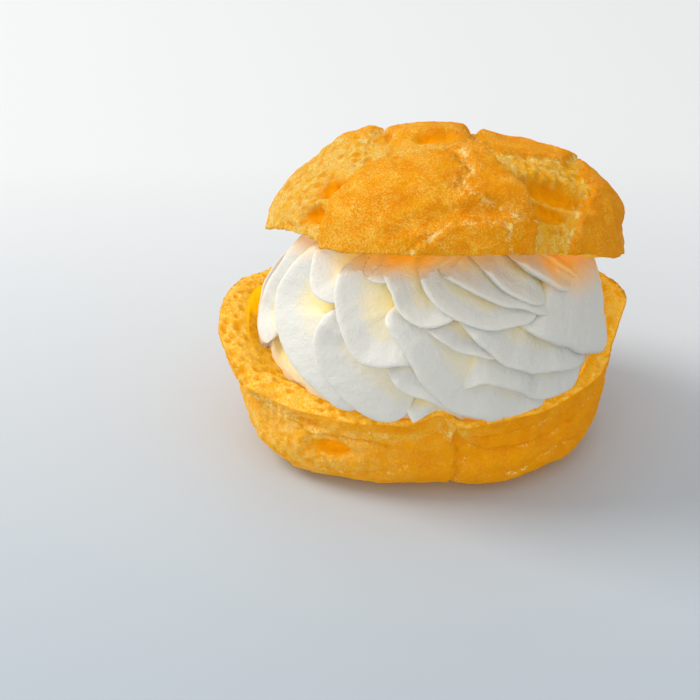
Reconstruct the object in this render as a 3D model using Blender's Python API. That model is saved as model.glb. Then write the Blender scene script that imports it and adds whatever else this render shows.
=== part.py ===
"""A cream puff: a round choux bun cut across, opened like a clam, with whipped cream piped between its halves.

The bun's lower half is a bowl with a torn rim and a flat foot. Piped cream fills it and swells out between the
halves in overlapping petals. The upper half is a hollow lid that leans back on the cream.
Lengths here are in millimetres, and the solids are made in metres, +Z up. The origin is the middle of the foot,
+X is the bun's right and -Y the side that gapes open. Azimuths are in degrees: 0 right, 90 back, 270 front.
"""

import math

import bpy
import numpy as np
from mathutils import Euler, Matrix, Vector, noise

MM = 0.001
CLEARANCE = 1.1  # between the cream and the choux that holds it
EDGE_CLEARANCE = 1.5  # between the cream and the torn edges that it passes

# The lower half. Its wall at each azimuth: the rim's outer radius and height, the wall's thickness, how much
# higher the rim's inner edge is than its outer one, and the radius of the belly low down
RIM = (
    (2, 47.4, 30.3, 7.2, -1.5, 41.8),
    (25, 45.0, 30.0, 6.0, -2.0, 41.5),
    (90, 43.0, 28.0, 5.0, 0.0, 39.0),
    (140, 45.0, 25.5, 5.0, -1.0, 41.0),
    (165, 46.8, 28.3, 5.5, -1.0, 42.0),
    (182, 46.6, 29.5, 5.8, -1.5, 42.5),
    (196, 46.8, 25.5, 6.5, -1.5, 42.8),
    (209, 45.8, 20.0, 8.0, 0.5, 42.8),
    (217, 42.5, 18.3, 7.0, 1.5, 42.0),
    (240, 40.0, 18.8, 5.0, 0.5, 39.5),
    (262, 38.8, 19.3, 3.4, -1.0, 37.3),
    (273, 39.0, 22.2, 4.0, -0.3, 37.5),
    (282, 39.3, 19.3, 3.2, -1.0, 37.5),
    (305, 41.0, 20.0, 3.5, -0.6, 39.5),
    (328, 42.8, 21.0, 4.0, -0.8, 41.3),
    (350, 43.2, 21.5, 5.0, -1.2, 41.6),
    (362, 47.4, 30.3, 7.2, -1.5, 41.8),
)
# The rise of the shelf of crumb inside it at each azimuth
SHELF = ((150, 4.5), (172, 23.5), (190, 23.0), (203, 21.5), (217, 19.0), (240, 17.5), (262, 4.5), (510, 4.5))
SHELF_RADIUS = 40.0
SHELF_SLOPE = 0.3  # at which the shelf falls from that radius towards the middle
FOOT_INSET = 10.0  # of the flat foot from the belly
BELLY_HEIGHT = 9.0
FLOOR_THICKNESS = 4.5
WALL_LENGTH = 33.0  # along the wall from foot to rim, for measuring its relief

# The lid, in its own frame: its rim lies round z = 0 and its dome rises along +z
LID_CENTRE = (3.9, 0.0, 45.7)
LID_LEAN = 20  # degrees, front edge up
LID_ROLL = 1.5  # degrees, left edge up
LID_HALF_WIDTH = 40.0
LID_HALF_DEPTH = 39.0
LID_RISE = 22.8
LID_WALL = 5.0
LID_HOLLOW = 13.0
# The rise of its rim at each azimuth: its left part is torn higher, and a flap hangs at its right end
LID_EDGE = (
    (0, -0.5), (90, 0.0), (150, 0.8), (180, 1.9), (203, 2.7), (219, 2.2), (232, 0.1), (242, -0.6), (270, 0.1),
    (292, 0.4), (312, -0.2), (330, -1.6), (340, -1.2), (360, -0.5),
)

# The relief of the choux is laid out on a map. The lid's map is its dome seen from above, spread out so that
# lengths down its sides are true: x right, y back, its rim 40 from the middle. The bowl's map is its wall
# unrolled: x along the belly, 0 at azimuth 270, and y up the wall from the foot.
# A plate of crust: its outline, how far it stands out, and the width of its broken edge
LID_PLATES = (
    # the broad front plate
    (
        ((-33, -40), (-26.2, -29.1), (-23.3, -26.1), (-21, -24), (-18.3, -21.4), (-16, -19.8), (-13.8, -17.5),
         (-11.9, -16.8), (-9, -16.8), (-6.4, -17.5), (-3.7, -17.4), (-1, -16), (1, -14.2), (2.4, -12.9),
         (3.9, -15.3), (5.9, -18.2), (8, -20.6), (9.5, -22.5), (10.9, -25), (12.7, -28.3), (14.4, -32.4),
         (16.5, -38), (0, -52)),
        2.4, 1.1,
    ),
    # its right half, standing a little higher
    (
        ((2.4, -12.9), (1.3, -17), (0.8, -20.4), (2, -23), (0.1, -25.9), (4, -29), (9, -31), (14, -31), (9, -19)),
        0.9, 1.0,
    ),
    # the small lobe along its lower edge
    (((-8.3, -42), (-8, -38.6), (-5.3, -36.4), (-1.8, -34.7), (2.2, -34), (8.8, -33.3), (12, -46), (0, -50)),
     1.0, 0.9),
    # behind the crown to the right
    (((4, -9.5), (7.7, -11.5), (12.7, -10.3), (17, -8), (20, -1), (14, 8), (4, 4)), 0.9, 1.2),
    # the right flank
    (
        ((18.5, -3), (18.9, -10.4), (21.3, -11.4), (22.7, -16.5), (21.7, -22.4), (22.1, -26.7), (23.7, -33),
         (48, -30), (48, 12), (26, 12)),
        1.5, 1.3,
    ),
    # the left shoulder
    (((-17, 4), (-14, -5), (-10.5, -9), (-8.5, -4), (-8.5, 8), (-14, 10)), 0.8, 1.2),
)
# A swelling or, where it is negative, a hollow: middle, half-length, half-width, turn in degrees, lift
LID_SWELLINGS = (
    (-2.5, -5.0, 7.5, 8.0, 0, 4.2),  # the knob on the crown
    (-2.3, -11.0, 3.4, 2.2, 0, -2.4),  # its navel
    (-13.5, -1.0, 5.5, 8.0, 0, 3.2),  # the left shoulder
    (-22, 1, 6.0, 9.0, 0, 1.2),
    (8.0, 1.0, 4.5, 7.0, 0, 0.9),
    (15.5, -1.5, 5.0, 8.0, 0, 2.1),
    (24.5, -5.0, 7.5, 11.0, 0, 2.5),  # the right flank
    (-4, -27, 19.0, 13.0, 0, 2.2),  # the front plate's own dome
    (15.0, -21.3, 6.6, 3.2, 24, -4.2),  # smooth hollows that the crust has torn away from
    (16.0, -26.6, 4.4, 2.2, 24, -2.4),
    (-19.5, -17.8, 4.2, 2.8, -42, -3.0),
    (-25.2, -22.8, 3.6, 2.0, -38, -3.0),
    (-1.0, -32.0, 9.0, 1.8, 11, -1.1),
    (5.0, -30.0, 3.6, 2.0, 8, -0.9),
    (-6, 22, 12, 9, 0, 2.0),
    (18, 24, 10, 8, 30, 1.8),
    (-28, 14, 8, 9, 20, 1.6),
    (34, 8, 6, 10, 0, 1.0),
    (6, 14, 5, 3, 50, -1.6),
    (-15, 31, 6, 2.5, 15, -1.5),
)
# A crack: its run, half-width and depth
LID_CRACKS = (
    (((-0.4, -17.6), (0.4, -20.4), (1.4, -23.5), (0.1, -25.9)), 0.6, 0.9),
    (((3.6, -10), (3.6, 0), (5, 12), (2, 24), (8, 40)), 0.9, 1.4),
    (((-8.2, -8), (-8.3, 4), (-18, 12), (-20, 24), (-28, 30)), 0.8, 1.4),
    (((5, 12), (18, 12), (28, 18), (38, 16)), 0.9, 1.2),
)
BASE_SWELLINGS = (
    (-7, 17, 8, 9, 0, 0.9),
    (25, 11, 17, 9, 0, 1.5),
    (-33, 11, 11, 9, 0, 1.3),
    (6, 31, 2.6, 3.0, 0, 1.2),  # the knob at the top of the crease
    (-22.5, 16, 4.5, 3.6, 10, -2.2),  # the deep pit
    (-29, 27, 4.5, 2.0, -10, -1.6),
    (-52, 29, 10, 6, 0, 0.8),
    (60, 16, 14, 11, 0, 1.0),
    (98, 18, 13, 12, 0, 1.3),
    (-96, 16, 15, 11, 0, 1.2),
    (-68, 12, 9, 8, 0, 0.9),
    (128, 16, 12, 9, 0, 1.0),
)
BASE_CRACKS = (
    (((6.5, 31), (6, 22), (7, 14), (6.5, 0)), 0.9, 1.5),
    (((6.5, 25), (12, 20), (20, 18), (27, 18), (36, 20), (44, 24)), 0.8, 1.0),
    (((-42, 26), (-49, 23), (-56, 22.5), (-63, 24)), 1.7, 3.0),
    (((44, 24), (56, 21), (72, 26)), 0.8, 1.1),
    (((78, 33), (80, 20), (76, 8)), 0.9, 1.2),
    (((-80, 33), (-83, 18), (-78, 6)), 0.9, 1.2),
    (((113, 33), (114, 16), (110, 5)), 0.9, 1.2),
)
# The cream: petals laid over a mound
MOUND_CENTRE = (1.5, -2.0, 34.0)
MOUND_RADIUS = 38.5
CORE_DEPTH = 4.0  # of the mound's core below the petals' edges
SKIRT_DEPTH = 1.8  # the same low down
FILL_REACH = 14.0  # of the core, past the mound, into the bowl
FILL_LEVEL = 18.6  # up to which it fills the bowl
OVERHANG_SLOPE = 0.25  # at which cream that swells out rises from the bowl's rim
LID_SLOPE = 0.8  # and falls away from the lid's
# A full-sized petal's section: from its edge across to its root under the next petal's edge, which lies near 10,
# and outwards
PETAL_SECTION = (
    (0.0, 0.0), (0.05, 0.5), (0.45, 0.95), (1.3, 0.9), (3.2, -0.1), (6.0, -1.6), (9.5, -3.0), (13.0, -5.0),
    (15.5, -7.2), (12.0, -8.0), (8.0, -6.6), (4.5, -4.6), (1.6, -2.8), (0.2, -1.2),
)
LIP_LENGTH = 6.0  # over which a petal's end rounds off
LIP_MIDDLE = (4.5, -1.2)  # the place in the section that it narrows to
ROOT_LENGTH = 7.0  # over which a petal rises out of the one before it
ROOT_DEPTH = 3.5
TURN_EASE = 5  # the sections turn with the edge's mean direction over a fifth of its length each way
LID_COVER = 26  # a petal that starts above this elevation comes out from under the lid instead
LID_REACH = 14  # and starts so much higher
# Each front petal: its edge as it runs down to its lip, in azimuths and elevations in degrees from the mound's
# centre, and its breadth, 1 for full size
FRONT_PETALS = (
    (((203, 36), (197, 20), (190, 6), (188, -5), (196, -13)), 0.9),
    (((217, 35), (209, 22), (205, 12), (208, 4), (215, -4), (223, -10), (233, -16), (242, -22)), 1.3),
    (((218, 35), (220, 27), (222, 22), (226, 18), (233, 14)), 0.85),
    (((236, 19), (230, 10), (229, 2), (232, -5), (238, -12), (246, -18), (257, -23)), 1.25),
    (((250, 2), (255, -2), (259, -6), (266, -9), (273, -13), (279, -16), (286, -22)), 0.8),
    (((238, 37), (234, 25), (236, 16), (240, 8), (245, 2), (251, 1), (257, 2), (262, -1)), 1.05),
    (((238, 38), (241, 31), (246, 27), (253, 25)), 0.6),
    (((246, 38), (250, 30), (254, 24), (257, 19), (262, 16), (268, 15), (277, 17)), 0.65),
    (((256, 23), (253, 17), (255, 12), (259, 8), (262, 2), (267, -6), (274, -13), (284, -18), (295, -22), (310, -21)),
     1.25),
    (((261, 17), (266, 14), (272, 10), (277, 7), (283, 5), (290, 2)), 0.5),
    (((272, -6), (277, -7), (283, -4), (287, -5), (295, -9), (305, -15), (324, -18)), 0.9),
    (((274, 18), (277, 14), (282, 9), (288, 3), (296, -2), (305, -5), (313, -7), (325, -12)), 0.85),
    (((260, 39), (262, 32), (265, 26), (269, 21), (275, 17), (282, 14), (291, 13), (304, 13)), 0.7),
    (((263, 39), (269, 32), (276, 27), (283, 23), (290, 20), (298, 17), (307, 11)), 0.6),
    (((280, 39), (285, 31), (289, 26), (296, 21), (305, 15)), 0.6),
    (((294, 38), (300, 30), (306, 25), (320, 15)), 0.65),
    (((308, 38), (314, 30), (322, 22), (334, 15)), 0.6),
    (((320, 38), (328, 26), (338, 15), (350, 8)), 0.8),
    (((295, 15), (299, 10), (305, 6), (313, 1), (323, -5), (336, -11), (348, -14), (355, -11)), 1.35),
    (((334, 34), (342, 22), (350, 12), (360, 4)), 0.6),
)
# The rest go round the back by rule, lower towards the middle of the back, as the lid's rim is
BACK_PETALS = 8
BACK_BREADTH = 1.05
BACK_START = 354
BACK_END = 512
BACK_SWEEP = 34  # in azimuth
BACK_RISE = 28  # in elevation, of their starts at the sides
BACK_DROP = 20  # of their starts from the sides to the middle of the back
BACK_FALL = 44  # from their starts to their lips

BASE_TRIANGLES = 2600
LID_TRIANGLES = 2700
CREAM_TRIANGLES = 4500
CREAM_VOXEL = 0.74


def clear_scene():
    for obj in list(bpy.data.objects):
        bpy.data.objects.remove(obj)


def smooth_step(x):
    x = np.clip(x, 0.0, 1.0)
    return x * x * (3 - 2 * x)


def direction(azimuth, elevation):
    """Unit vectors at azimuths and elevations in radians."""
    flat = np.cos(elevation)
    return np.stack([flat * np.cos(azimuth), flat * np.sin(azimuth), np.sin(elevation)], -1)


def along_table(table, azimuth):
    """The columns of a table of azimuths in degrees, at azimuths in radians."""
    rows = np.array(table, float)
    degrees = (np.degrees(azimuth) - rows[0, 0]) % 360 + rows[0, 0]
    low = np.clip(np.searchsorted(rows[:, 0], degrees, side="right") - 1, 0, len(rows) - 2)
    share = smooth_step((degrees - rows[low, 0]) / (rows[low + 1, 0] - rows[low, 0]))
    return [rows[low, k] + (rows[low + 1, k] - rows[low, k]) * share for k in range(1, rows.shape[1])]


def noise_at(points, scale, seed):
    """Smooth noise between -1 and 1 at points, of about the given scale."""
    shift = Vector((seed * 7.3, seed * 3.1, seed * 5.7))
    flat = np.asarray(points).reshape(-1, 3) / scale
    values = [noise.noise(Vector(point) + shift) for point in flat.tolist()]
    return np.array(values).reshape(np.shape(points)[:-1])


# ---------------------------------------------------------------- relief of the choux


def distance_to_run(place, run):
    """Distance of each place on a map from a line through the points of a run."""
    nearest = np.full(place.shape[:-1], np.inf)
    for start, end in zip(np.array(run[:-1], float), np.array(run[1:], float)):
        step = end - start
        share = np.clip(((place - start) @ step) / (step @ step), 0, 1)
        away = place - (start + share[..., None] * step)
        nearest = np.minimum(nearest, np.hypot(away[..., 0], away[..., 1]))
    return nearest


def inside_outline(place, outline):
    found = np.zeros(place.shape[:-1], bool)
    x, y = place[..., 0], place[..., 1]
    for (x0, y0), (x1, y1) in zip(outline, [*outline[1:], outline[0]]):
        if y0 != y1:
            crosses = (y0 > y) != (y1 > y)
            found ^= crosses & (x < x0 + (x1 - x0) * (y - y0) / (y1 - y0))
    return found


def plate_height(place, outline, width):
    """1 on the plate and 0 off it, with a slope of the given width inside its edge."""
    edge = distance_to_run(place, [*outline, outline[0]])
    return np.where(inside_outline(place, outline), smooth_step(edge / width), 0.0)


def swelling_height(place, x, y, length, width, turn):
    along = math.cos(math.radians(turn)), math.sin(math.radians(turn))
    dx, dy = place[..., 0] - x, place[..., 1] - y
    u = (dx * along[0] + dy * along[1]) / length
    v = (dy * along[0] - dx * along[1]) / width
    return np.exp(-((u * u + v * v) ** 1.6))


def relief(place, points, plates, swellings, cracks):
    """How far the choux stands out at each place on its map, in millimetres. Its edges wander with the noise."""
    wander = np.stack([noise_at(points, 6, 1), noise_at(points, 6, 2)], -1) * 0.9
    wander += np.stack([noise_at(points, 2.4, 3), noise_at(points, 2.4, 4)], -1) * 0.6
    ragged = place + wander
    height = 0.9 * noise_at(points, 14, 5) + 0.35 * noise_at(points, 5, 6)
    for outline, lift, width in plates:
        height += lift * plate_height(ragged, outline, width)
    for x, y, length, width, turn, lift in swellings:
        height += lift * swelling_height(place + wander * 0.4, x, y, length, width, turn)
    for run, width, depth in cracks:
        height -= depth * np.exp(-((distance_to_run(ragged, run) / width) ** 2))
    return height


# ---------------------------------------------------------------- meshes


def new_object(name, points, faces, material):
    mesh = bpy.data.meshes.new(name)
    mesh.from_pydata((np.asarray(points) * MM).tolist(), [], faces)
    mesh.materials.append(material)
    mesh.shade_smooth()
    obj = bpy.data.objects.new(name, mesh)
    bpy.context.scene.collection.objects.link(obj)
    return obj


def tube_faces(rings, sides, first=0):
    """Quads between rings of equal size."""
    faces = []
    for i in range(rings - 1):
        for j in range(sides):
            k = (j + 1) % sides
            low, high = first + i * sides, first + (i + 1) * sides
            faces.append((low + j, low + k, high + k, high + j))
    return faces


def closed_surface(name, start, rings, end, material):
    """One closed object: a point, rings of points, and a point."""
    count, sides = rings.shape[:2]
    points = np.concatenate([[start], rings.reshape(-1, 3), [end]])
    faces = [(0, 1 + (j + 1) % sides, 1 + j) for j in range(sides)]
    faces += tube_faces(count, sides, first=1)
    last = len(points) - 1
    faces += [(last - sides + j, last - sides + (j + 1) % sides, last) for j in range(sides)]
    return new_object(name, points, faces, material)


def reduce_to(obj, triangles):
    """Thins the mesh where it is smooth, down to a number of triangles."""
    count = sum(len(face.vertices) - 2 for face in obj.data.polygons)
    thin = obj.modifiers.new("thin", "DECIMATE")
    thin.ratio = min(1.0, triangles / count)


# ---------------------------------------------------------------- lower half


def wall_map(azimuth, share):
    """Place on the bowl's map."""
    turned = (azimuth - math.radians(270) + math.pi) % math.tau - math.pi
    return np.stack([turned * 40, share * WALL_LENGTH], -1)


def outer_wall(azimuth, share):
    """Points of the bowl's outside, from its foot (share 0) to its rim (share 1)."""
    radius, height, _, _, belly = along_table(RIM, azimuth)
    turn = np.clip(share / 0.35, 0, 1) * math.pi / 2
    climb = np.clip((share - 0.35) / 0.65, 0, 1)
    reach = belly - FOOT_INSET * (1 - np.sin(turn)) + (radius - belly) * climb**1.6
    level = BELLY_HEIGHT * (1 - np.cos(turn)) + (height - BELLY_HEIGHT) * climb
    out = direction(azimuth, 0 * azimuth)
    points = out * reach[..., None]
    points[..., 2] = level
    normal = direction(azimuth, turn - math.pi / 2)
    lift = relief(wall_map(azimuth, share), points, (), BASE_SWELLINGS, BASE_CRACKS)
    lift *= smooth_step(share * 5)
    points += normal * lift[..., None]
    points[..., 2] = np.maximum(points[..., 2], 0.15 * smooth_step(share * 40))
    return points


def shelf_rise(azimuth, away):
    """Height of the shelf of crumb inside the wall, at distances from the middle."""
    return along_table(SHELF, azimuth)[0] - SHELF_SLOPE * np.maximum(0, SHELF_RADIUS - away)


def inner_wall(azimuth, share):
    """Points of the bowl's inside, from its rim (share 0) to the middle of its floor (share 1)."""
    radius, height, wall, step, _ = along_table(RIM, azimuth)
    height = height + step
    turn = share * math.pi / 2
    away = (radius - wall) * np.cos(turn) ** 0.8
    points = direction(azimuth, 0 * azimuth) * away[..., None]
    fall = height - (height - FLOOR_THICKNESS) * np.sin(turn) ** 0.8
    points[..., 2] = np.maximum(fall, np.minimum(shelf_rise(azimuth, away), height))
    return points


def in_bowl(points):
    """Whether the cream may be at each point: inside the bowl, or above its rim."""
    azimuth = np.arctan2(points[:, 1], points[:, 0])
    radius, height, wall, step, _ = along_table(RIM, azimuth)
    inner = radius - wall - CLEARANCE
    away = np.hypot(points[:, 0], points[:, 1])
    rim_top = height + np.maximum(0, step) + EDGE_CLEARANCE
    over_rim = points[:, 2] > rim_top + OVERHANG_SLOPE * np.maximum(0, away - inner)
    height = height + step
    down = np.maximum(0, (height - points[:, 2]) / (height - FLOOR_THICKNESS - CLEARANCE))
    over_shelf = points[:, 2] > np.minimum(shelf_rise(azimuth, away), height) + CLEARANCE
    return over_rim | (((away / inner) ** 2.5 + down**2.5 < 1) & over_shelf)


def make_base(material):
    columns, wall_rings, inner_rings = 150, 30, 9
    azimuths = np.linspace(0, math.tau, columns, endpoint=False)
    around, up = np.meshgrid(azimuths, np.arange(wall_rings + 1) / wall_rings)
    outside = outer_wall(around, up)
    around, down = np.meshgrid(azimuths, np.arange(inner_rings) / inner_rings)
    inside = inner_wall(around, down)
    rings = np.concatenate([outside, inside])
    rings[0, :, 2] = 0
    base = closed_surface("choux_base", (0, 0, 0), rings, (0, 0, FLOOR_THICKNESS), material)
    reduce_to(base, BASE_TRIANGLES)


# ---------------------------------------------------------------- lid


def lid_placement():
    """From the lid's own frame in millimetres to the bun's."""
    lean = Euler((math.radians(-LID_LEAN), 0, 0)).to_matrix()
    roll = Euler((0, math.radians(LID_ROLL), 0)).to_matrix()
    return Matrix.Translation(LID_CENTRE) @ (roll @ lean).to_4x4()


def moved(points, placement):
    grid = np.array(placement)
    return points @ grid[:3, :3].T + grid[:3, 3]


def lid_edge(azimuth):
    """Rise of the lid's rim."""
    return along_table(LID_EDGE, azimuth)[0] + 0.3 * noise_at(direction(azimuth, 0 * azimuth) * 40, 5, 9)


def lid_outside(azimuth, share):
    """Points of the lid's dome, from its crown (share 0) to its rim (share 1)."""
    turn = share * math.pi / 2
    toward = direction(azimuth, math.pi / 2 - turn)
    points = toward * (LID_HALF_WIDTH, LID_HALF_DEPTH, LID_RISE)
    points[..., 2] += lid_edge(azimuth) * share**3
    place = np.stack([40 * share * np.cos(azimuth), 40 * share * np.sin(azimuth)], -1)
    lift = relief(place, toward * 40, LID_PLATES, LID_SWELLINGS, LID_CRACKS)
    return points + toward * lift[..., None]


def lid_inside(azimuth, share):
    """Points of the lid's underside, from its rim (share 0) to the top of its hollow (share 1)."""
    toward = direction(azimuth, share * math.pi / 2)
    points = toward * (LID_HALF_WIDTH - LID_WALL, LID_HALF_DEPTH - LID_WALL, LID_HOLLOW)
    points[..., 2] += lid_edge(azimuth) * (1 - share)
    return points


def under_lid(points, to_lid):
    """Whether the cream may be at each point: below the lid's rim, or inside its hollow."""
    local = moved(points, to_lid)
    edge = lid_edge(np.arctan2(local[:, 1], local[:, 0])) - EDGE_CLEARANCE
    room = np.array((LID_HALF_WIDTH - LID_WALL, LID_HALF_DEPTH - LID_WALL, LID_HOLLOW)) - CLEARANCE
    scaled = local / room
    beyond = LID_HALF_WIDTH * np.maximum(0, np.hypot(scaled[:, 0], scaled[:, 1]) - 1)
    scaled[:, 2] = np.maximum(0, scaled[:, 2])
    return (local[:, 2] < edge - LID_SLOPE * beyond) | ((scaled**2).sum(-1) < 1)


def make_lid(material):
    columns, dome_rings, hollow_rings = 150, 34, 8
    azimuths = np.linspace(0, math.tau, columns, endpoint=False)
    around, share = np.meshgrid(azimuths, 1 - np.arange(1, hollow_rings + 1) / hollow_rings)
    inside = lid_inside(around, share)
    around, share = np.meshgrid(azimuths, 1 - np.arange(dome_rings) / dome_rings)
    outside = lid_outside(around, share)
    crown = outside[-1].mean(axis=0)
    placement = lid_placement()
    rings = moved(np.concatenate([inside, outside]), placement)
    low, high = moved(np.array([(0, 0, LID_HOLLOW), crown]), placement)
    lid = closed_surface("choux_lid", low, rings, high, material)
    reduce_to(lid, LID_TRIANGLES)


# ---------------------------------------------------------------- cream


def mound_reach(azimuth, elevation):
    """Radius of the mound: a ball that leans out at the front and draws in at the top, the right and round the back."""
    front, rise = -np.sin(azimuth), np.sin(elevation)
    drawn_in = 5.5 * smooth_step((0.35 - front) / 0.7) * smooth_step((rise + 0.4) / 0.7)
    drawn_in += 2.0 * smooth_step((np.cos(azimuth) - 0.75) / 0.25) * smooth_step((rise + 0.05) / 0.3)
    return MOUND_RADIUS + 1.5 * front - 10 * rise + 11.5 * rise * front - drawn_in


def mound_point(azimuth, elevation, depth=0.0):
    reach = mound_reach(azimuth, elevation) - depth
    return np.array(MOUND_CENTRE) + direction(azimuth, elevation) * reach[..., None]


def petal_edge(petal, share):
    """Points of a petal's edge at shares of its way from start to lip: a smooth curve through its stops."""
    rows = list(petal[0])
    if rows[0][1] > LID_COVER:
        rows.insert(0, (rows[0][0], rows[0][1] + LID_REACH))
    stops = np.radians(rows)
    steps = np.linalg.norm(np.diff(stops, axis=0), axis=1)
    reached = np.concatenate([[0], np.cumsum(steps)]) / steps.sum()
    at = np.interp(share, reached, np.arange(len(stops))) + (share - np.clip(share, 0, 1)) * (len(stops) - 1)
    low = np.clip(at.astype(int), 0, len(stops) - 2)
    ends = np.concatenate([[2 * stops[0] - stops[1]], stops, [2 * stops[-1] - stops[-2]]])
    place = between(*(ends[low + i] for i in range(4)), (at - low)[:, None])
    return mound_point(place[:, 0], place[:, 1])


def unit(vectors):
    return vectors / np.linalg.norm(vectors, axis=-1, keepdims=True)


def between(before, start, end, beyond, share):
    """The way from start to end on a smooth curve through four points."""
    bent = (end - before) * share + (2 * before - 5 * start + 4 * end - beyond) * share**2
    return start + (bent + (3 * start - before - 3 * end + beyond) * share**3) / 2


def smoothed(rows, reach):
    """Each row's mean with the rows up to a reach before and after it."""
    padded = np.concatenate([np.repeat(rows[:1], reach, axis=0), rows, np.repeat(rows[-1:], reach, axis=0)])
    sums = np.cumsum(np.concatenate([0 * rows[:1], padded]), axis=0)
    return (sums[2 * reach + 1:] - sums[:-2 * reach - 1]) / (2 * reach + 1)


def petal_rings(petal, seed, steps=34):
    """A petal's sections: its edge stands out, its face falls back under the next petal, and its lip is round."""
    share = np.linspace(0, 1, steps + 1)
    edge = petal_edge(petal, share)
    along = petal_edge(petal, share + 0.01) - petal_edge(petal, share - 0.01)
    outward = unit(edge - MOUND_CENTRE)
    across = unit(np.cross(outward, unit(smoothed(unit(along), steps // TURN_EASE))))
    length = np.linalg.norm(np.diff(edge, axis=0), axis=1).sum()
    edge = edge + across * 0.4 * noise_at(edge, 5, seed)[:, None]
    edge = edge + outward * 0.3 * noise_at(edge, 7, seed + 50)[:, None]
    if petal[0][0][1] < LID_COVER:
        edge = edge - outward * (ROOT_DEPTH * (1 - smooth_step(share * length / ROOT_LENGTH)))[:, None]
    left = (1 - share) * length / LIP_LENGTH
    narrow = np.sqrt(1 - (1 - np.clip(left, 0.02, 1)) ** 2)[:, None]
    breadth, depth = petal[1], 0.5 + 0.5 * petal[1]
    middle = edge + across * LIP_MIDDLE[0] * breadth + outward * LIP_MIDDLE[1] * depth
    rings = []
    for u, v in PETAL_SECTION:
        place = edge + across * u * breadth + outward * v * depth
        rings.append(middle + narrow * (place - middle))
    return np.stack(rings[::-1], axis=1)


def back_petals():
    """The petals round the side that faces away."""
    found = []
    for azimuth in np.linspace(BACK_START, BACK_END, BACK_PETALS, endpoint=False):
        start = BACK_RISE - BACK_DROP * max(0.0, math.sin(math.radians(azimuth)))
        bend = azimuth + BACK_SWEEP * 0.35, start - BACK_FALL * 0.5
        found.append((((azimuth, start), bend, (azimuth + BACK_SWEEP, start - BACK_FALL)), BACK_BREADTH))
    return found


def core_rings(steps=40, sides=72):
    """The mound below the petals, spread at its bottom to fill the bowl."""
    elevation = np.linspace(-88, 88, steps)[:, None] + np.zeros(sides)
    azimuth = np.linspace(0, math.tau, sides, endpoint=False) + np.zeros((steps, 1))
    skirt = smooth_step((-6 - elevation) / 12)
    points = mound_point(azimuth, np.radians(elevation), CORE_DEPTH + (SKIRT_DEPTH - CORE_DEPTH) * skirt)
    spread = mound_point(azimuth, np.radians(elevation), -FILL_REACH)
    spread[..., 2] = np.minimum(spread[..., 2], FILL_LEVEL)
    return np.where(elevation[..., None] < -25, spread, points)


def held_in(points, to_lid):
    """The points, drawn towards the mound's centre until they are clear of both halves of the bun."""
    centre = np.array(MOUND_CENTRE)
    loose = np.flatnonzero(~(in_bowl(points) & under_lid(points, to_lid)))
    outer = points[loose]
    low, high = np.zeros(len(loose)), np.ones(len(loose))
    for _ in range(12):
        middle = (low + high) / 2
        trial = centre + (outer - centre) * middle[:, None]
        fits = in_bowl(trial) & under_lid(trial, to_lid)
        low, high = np.where(fits, middle, low), np.where(fits, high, middle)
    held = points.copy()
    held[loose] = centre + (outer - centre) * low[:, None]
    return held


def merged(points, faces, voxel):
    """Points and faces of one clean surface round everything that the faces enclose."""
    loose = new_object("loose", points, faces, None)
    merge = loose.modifiers.new("merge", "REMESH")
    merge.mode = "VOXEL"
    merge.voxel_size = voxel * MM
    bpy.context.view_layer.update()
    mesh = loose.evaluated_get(bpy.context.evaluated_depsgraph_get()).data
    points = np.array([vertex.co for vertex in mesh.vertices]) / MM
    faces = [tuple(face.vertices) for face in mesh.polygons]
    bpy.data.objects.remove(loose)
    return points, faces


def make_cream(material):
    to_lid = lid_placement().inverted()
    points, faces = [], []
    petals = [petal_rings(petal, 60 + i) for i, petal in enumerate([*FRONT_PETALS, *back_petals()])]
    for rings in [core_rings(), *petals]:
        count, sides = rings.shape[:2]
        first = len(points)
        faces += tube_faces(count, sides, first)
        faces.append(tuple(first + j for j in reversed(range(sides))))
        faces.append(tuple(first + (count - 1) * sides + j for j in range(sides)))
        points += list(held_in(rings.reshape(-1, 3), to_lid))
    points, faces = merged(points, faces, CREAM_VOXEL)
    cream = new_object("cream", held_in(points, to_lid), faces, material)
    reduce_to(cream, CREAM_TRIANGLES)


def finish(name, colour, roughness, subsurface=0.0):
    material = bpy.data.materials.new(name)
    material.use_nodes = True
    shader = material.node_tree.nodes["Principled BSDF"]
    shader.inputs["Base Color"].default_value = (*colour, 1)
    shader.inputs["Roughness"].default_value = roughness
    shader.inputs["Metallic"].default_value = 0
    shader.inputs["Subsurface Weight"].default_value = subsurface
    return material


def main():
    clear_scene()
    choux = finish("choux", (0.85, 0.42, 0.08), 0.6)
    make_base(choux)
    make_cream(finish("cream", (0.93, 0.91, 0.86), 0.45, 0.3))
    make_lid(choux)


main()
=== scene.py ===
"""The looks of a cream puff: a golden choux bun, cut across and opened, round a piped swirl of whipped cream.

The bun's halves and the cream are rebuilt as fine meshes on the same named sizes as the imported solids, which they
replace. Lengths are in millimetres until a mesh is made. Azimuths are in degrees: 0 right, 90 back, 270 front.
"""

import math

import bpy
import numpy as np
from mathutils import Euler, Matrix, Vector, noise


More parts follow.
